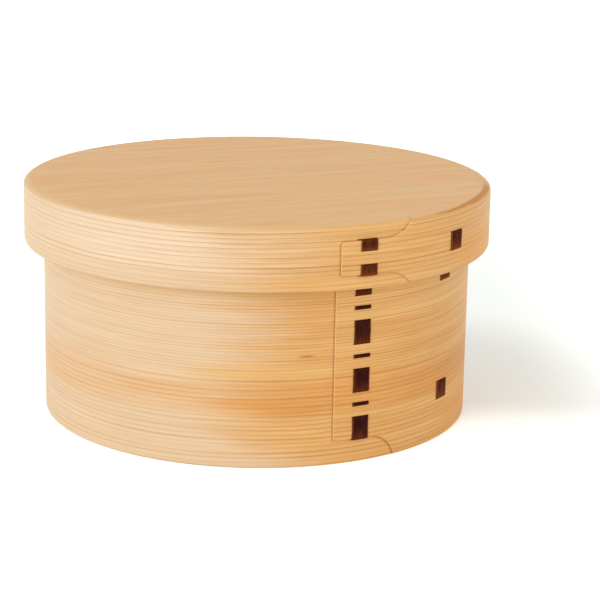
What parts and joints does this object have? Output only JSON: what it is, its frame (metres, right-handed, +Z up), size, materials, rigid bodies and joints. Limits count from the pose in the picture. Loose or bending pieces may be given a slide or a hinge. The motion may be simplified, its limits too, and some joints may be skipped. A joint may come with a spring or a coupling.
{
  "type": "bentwood rice tub with lid",
  "caption": "Round bentwood cedar rice tub: a hooped side laced with bark over a recessed bottom board, and a cap lid that lifts off over the rim.",
  "frame": {"origin": "middle of the foot, in the plane that the tub stands on", "axes": "+Z up along the axis of the tub; the front faces -Y and the laced seam lies at the front right, towards +X"},
  "size_m": [0.2, 0.1996, 0.1005],
  "materials": {
    "cedar_side": "planed bare cedar, satin, straight grain running round the hoop",
    "cedar_board": "planed bare cedar, satin, straight grain across the board",
    "cherry_bark": "smooth dark cherry bark with a dull gloss"
  },
  "bodies": {
    "tub": {"tub_side_band": "cedar_side", "tub_bottom_board": "cedar_board", "tub_seam_lacing": "cherry_bark", "tub_end_stitch_upper": "cherry_bark", "tub_end_stitch_lower": "cherry_bark"},
    "lid": {"lid_side_band": "cedar_side", "lid_board": "cedar_board", "lid_seam_lacing": "cherry_bark", "lid_end_stitch": "cherry_bark"}
  },
  "joints": [
    {"name": "lid_lift", "type": "slide", "parent": "tub", "child": "lid", "axis": [0, 0, 1], "range_m": [0, 0.12]}
  ]
}
